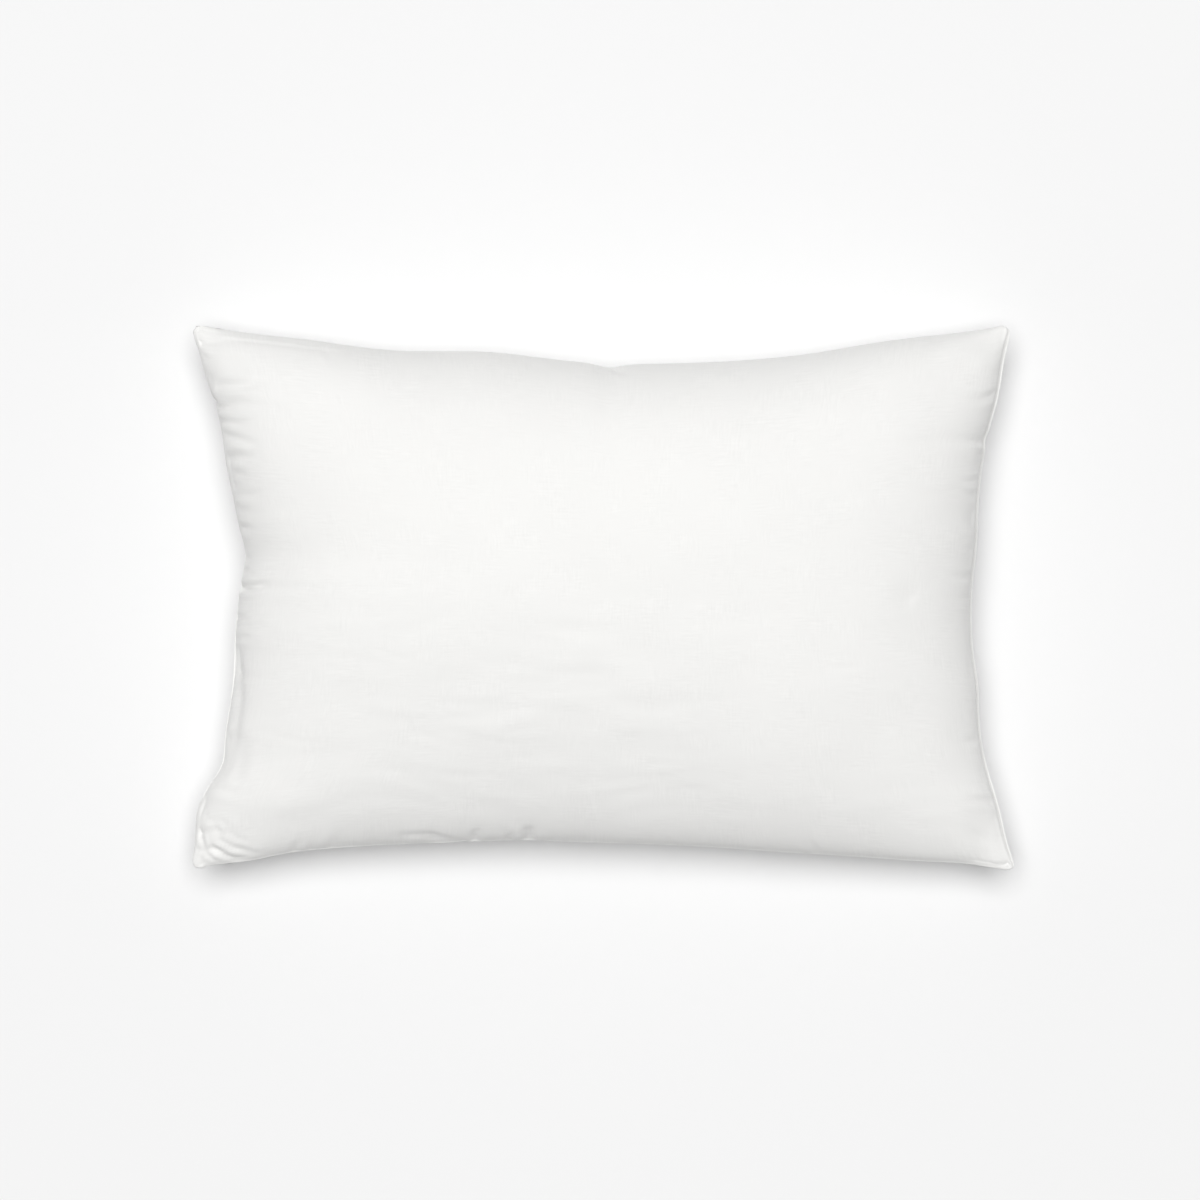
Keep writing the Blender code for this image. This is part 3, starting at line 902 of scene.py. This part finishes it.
# %% [markdown]
# ## The cloth's finish
#
# The casing is off-white percale: a plain weave of fine cotton yarns, about 37 to the centimetre.
# Close up, each yarn passes over and under the next, a tiny checker of bumps. From further away the
# slubs are left: short stretches where a yarn is thicker, which draw faint level and upright streaks.
# In patches the cloth also keeps a fine crinkle. All go into one node group, so that the weave can be
# used again with other values. It reads the panels' own UV map, whose numbers are metres on the flat
# cut, so the yarns bend with the cloth.


# %% Build the weave as a node group
def node(tree, kind, inputs=(), **settings):
    """A new node, with its settings made and its inputs linked or given values."""
    made = tree.nodes.new(kind)
    for key, value in settings.items():
        setattr(made, key, value)
    for name, value in dict(inputs).items():
        socket = made.inputs[name]
        if isinstance(value, bpy.types.NodeSocket):
            tree.links.new(value, socket)
        else:
            socket.default_value = value
    return made


def maths(tree, operation, *values):
    """A Math node's output."""
    return node(tree, "ShaderNodeMath", dict(enumerate(values)), operation=operation).outputs[0]


def times(tree, first, second):
    return maths(tree, "MULTIPLY", first, second)


def plus(tree, first, second):
    return maths(tree, "ADD", first, second)


def percale_weave():
    """Plain weave, slubs and crinkle: a height, and a tone that is 1 on average."""
    tree = bpy.data.node_groups.new("percale_weave", "ShaderNodeTree")
    tree.interface.new_socket("Place", in_out="INPUT", socket_type="NodeSocketVector")
    for name, value in (("Yarns per metre", 3700.0), ("Slub", 1.0), ("Blotch", 1.0), ("Crinkle", 1.0)):
        tree.interface.new_socket(name, in_out="INPUT", socket_type="NodeSocketFloat").default_value = value
    tree.interface.new_socket("Height", in_out="OUTPUT", socket_type="NodeSocketFloat")
    tree.interface.new_socket("Tone", in_out="OUTPUT", socket_type="NodeSocketFloat")
    given = node(tree, "NodeGroupInput").outputs
    split = node(tree, "ShaderNodeSeparateXYZ", {0: given["Place"]}).outputs
    turn = times(tree, given["Yarns per metre"], math.pi)
    warp = maths(tree, "SINE", times(tree, split[0], turn))
    weft = maths(tree, "SINE", times(tree, split[1], turn))
    crossing = times(tree, warp, weft)
    rounded = maths(tree, "POWER", maths(tree, "ABSOLUTE", crossing), 0.6)

    def streaks(stretch, detail):
        """Noise round zero whose scale along each axis is given."""
        place = node(tree, "ShaderNodeMapping", {"Vector": given["Place"], "Scale": stretch}).outputs[0]
        shape = {"Vector": place, "Scale": 1.0, "Detail": detail, "Roughness": 0.6}
        return maths(tree, "SUBTRACT", node(tree, "ShaderNodeTexNoise", shape).outputs["Fac"], 0.5)

    def patches(size, low, high):
        """Soft patches, 0 where the noise is under low and 1 where it is over high."""
        wide = plus(tree, streaks((size, size, 1.0), 1.0), 0.5)
        ends = {"Value": wide, "From Min": low, "From Max": high}
        return node(tree, "ShaderNodeMapRange", ends).outputs[0]

    weft_slub = times(tree, streaks((60.0, 480.0, 1.0), 2.0), patches(31.0, 0.4, 0.65))
    warp_slub = times(tree, streaks((480.0, 60.0, 1.0), 2.0), patches(27.0, 0.4, 0.65))
    slub = times(tree, plus(tree, weft_slub, warp_slub), given["Slub"])
    blotch = times(tree, streaks((9.0, 9.0, 1.0), 3.0), given["Blotch"])
    folds = maths(tree, "ABSOLUTE", streaks((16.0, 110.0, 1.0), 2.0))
    ends = {"Value": folds, "From Max": 0.12}
    sharp = node(tree, "ShaderNodeMapRange", ends, interpolation_type="SMOOTHSTEP").outputs[0]
    crinkle = times(tree, times(tree, sharp, patches(14.0, 0.42, 0.6)), given["Crinkle"])
    height = plus(tree, plus(tree, times(tree, rounded, 0.5), slub), crinkle)
    shade = plus(tree, times(tree, crossing, 0.01), times(tree, slub, 0.11))
    tone = plus(tree, plus(tree, shade, times(tree, blotch, 0.05)), 1.0)
    node(tree, "NodeGroupOutput", {"Height": height, "Tone": tone})
    return tree


weave = percale_weave()
print("weave group with", len(weave.nodes), "nodes")


# %% Make the casing's cotton
def new_material(name, colour, roughness, sheen):
    """A material with a Principled shader whose constants are on its own sockets."""
    material = bpy.data.materials.new(name)
    material.use_nodes = True
    shader = material.node_tree.nodes["Principled BSDF"]
    constants = {"Base Color": (*colour, 1), "Roughness": roughness, "Specular IOR Level": 0.25}
    constants |= {"Sheen Weight": sheen, "Sheen Roughness": 0.6}
    for socket, value in constants.items():
        shader.inputs[socket].default_value = value
    return material, material.node_tree, shader


def tint_and_raise(tree, shader, colour, tone, height, strength, distance):
    """The colour times a tone on Base Color, and a bump of the given height on Normal."""
    tint = node(tree, "ShaderNodeVectorMath", {0: colour, "Scale": tone}, operation="SCALE").outputs[0]
    tree.links.new(tint, shader.inputs["Base Color"])
    relief = {"Height": height, "Strength": strength, "Distance": distance}
    tree.links.new(node(tree, "ShaderNodeBump", relief).outputs[0], shader.inputs["Normal"])


def woven(name, colour):
    """Percale in a colour: the weave group tints it, roughens it and raises its yarns."""
    material, tree, shader = new_material(name, colour, 0.85, 0.3)
    cut = node(tree, "ShaderNodeUVMap", uv_map="cut").outputs[0]
    yarn = node(tree, "ShaderNodeGroup", {"Place": cut}, node_tree=weave).outputs
    tint_and_raise(tree, shader, colour, yarn["Tone"], yarn["Height"], 0.3, 0.08 * MM)
    tree.links.new(times(tree, yarn["Tone"], 0.85), shader.inputs["Roughness"])
    return material


casing = woven("casing_cotton_percale", (0.812, 0.809, 0.795))
for panel in (front_panel, back_panel):
    panel.data.materials.append(casing)
print("casing material with", len(casing.node_tree.nodes), "nodes")


# %% Make the threads' and the filling's finish
def twisted_thread(name, colour, twist):
    """Spun thread: a wave texture in object space stands for its plies, with fuzz in its roughness."""
    material, tree, shader = new_material(name, colour, 0.6, 0.2)
    place = node(tree, "ShaderNodeTexCoord").outputs["Object"]
    wave = {"Vector": place, "Scale": twist, "Distortion": 1.5}
    plies = node(tree, "ShaderNodeTexWave", wave, bands_direction="DIAGONAL").outputs["Fac"]
    fuzz = node(tree, "ShaderNodeTexNoise", {"Vector": place, "Scale": 1500.0, "Detail": 2.0}).outputs["Fac"]
    tone = plus(tree, times(tree, plies, 0.12), 0.88)
    tint_and_raise(tree, shader, colour, tone, plies, 0.5, 0.05 * MM)
    tree.links.new(plus(tree, times(tree, fuzz, 0.3), 0.5), shader.inputs["Roughness"])
    return material


def matted_fibre(name, colour):
    """Carded fibre: a twisted noise raises the strands, and a soft one tints the clumps."""
    material, tree, shader = new_material(name, colour, 0.95, 0.4)
    place = node(tree, "ShaderNodeTexCoord").outputs["Object"]
    tangle = {"Vector": place, "Scale": 260.0, "Detail": 5.0, "Distortion": 2.0}
    strands = node(tree, "ShaderNodeTexNoise", tangle).outputs["Fac"]
    clumps = node(tree, "ShaderNodeTexNoise", {"Vector": place, "Scale": 24.0, "Detail": 3.0}).outputs["Fac"]
    tone = plus(tree, times(tree, clumps, 0.12), 0.90)
    tint_and_raise(tree, shader, colour, tone, strands, 0.8, 0.8 * MM)
    return material


seam_finish = twisted_thread("seam_thread_polyester", (0.86, 0.85, 0.83), 900.0)
closing_finish = twisted_thread("closing_thread_polyester", (0.84, 0.83, 0.80), 900.0)
fibre = matted_fibre("filling_polyester_fibre", (0.93, 0.93, 0.93))
filling.data.materials.append(fibre)
for thread in (needle_thread, looper_thread, overlock_thread):
    thread.data.materials.append(seam_finish)
for thread in (closing_needle, closing_bobbin):
    thread.data.materials.append(closing_finish)
print("materials", sorted(material.name for material in bpy.data.materials))

# %% [markdown]
# ## Tell the frame what each piece stands for
#
# Every piece rides on the one body and takes the place of its imported node. The filling is what makes the
# pillow soft.

# %% Hand the pieces over
pieces = [
    (front_panel, "front_panel", "casing_cotton"),
    (back_panel, "back_panel", "casing_cotton"),
    (filling, "fibre_fill", "filling_fibre"),
    (needle_thread, "seam_needle_thread", "seam_thread"),
    (looper_thread, "seam_looper_thread", "seam_thread"),
    (overlock_thread, "overlock_thread", "seam_thread"),
    (closing_needle, "closing_needle_thread", "closing_thread"),
    (closing_bobbin, "closing_bobbin_thread", "closing_thread"),
]
for piece, packed_node, finish in pieces:
    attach(piece, "root")
    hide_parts(packed_node)
print(len(pieces), "pieces handed over")

# %% [markdown]
# ## Floor and light
#
# The pillow lies on a plain white floor under one very large, soft light, almost straight above and
# a little towards the upper left. A large light gives no hard shadow: the floor only darkens in a
# narrow band round the outline, where the pillow hides part of the light. The air around is bright
# to the camera, and adds only a little light of its own.

# %% Light the studio
reach, floor_level = 6.0, cad_low[2] - 0.3 * MM
corners = [(-reach, -reach), (reach, -reach), (reach, reach), (-reach, reach)]
floor_points = np.array([(x, y, floor_level) for x, y in corners])
floor = mesh_object("studio_floor", floor_points, [(0, 1, 2, 3)])
white, _, _ = new_material("studio_white", (0.80, 0.80, 0.80), 0.9, 0.0)
floor.data.materials.append(white)
floor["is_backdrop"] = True

soft_light = bpy.data.lights.new("overhead_softbox", "AREA")
soft_light.shape = "DISK"
soft_light.size = 13.3
soft_light.energy = 3390
softbox = linked("overhead_softbox", soft_light)
softbox.location = (-0.6, 2.3, 16.0)
aim = Vector((0, 0, 0.05)) - softbox.location
softbox.rotation_mode = "QUATERNION"
softbox.rotation_quaternion = aim.to_track_quat("-Z", "Y")

world = bpy.data.worlds.new("studio_air")
scene.world = world
world.use_nodes = True
air = world.node_tree
seen_strength, lighting_strength = 0.86, 0.04
seen = node(air, "ShaderNodeLightPath").outputs["Is Camera Ray"]
strength = plus(air, times(air, seen, seen_strength), lighting_strength)
air.links.new(strength, air.nodes["Background"].inputs["Strength"])
air.nodes["Background"].inputs["Color"].default_value = (1.0, 1.0, 1.0, 1)
scene.view_settings.view_transform = "Standard"
print("studio lit")
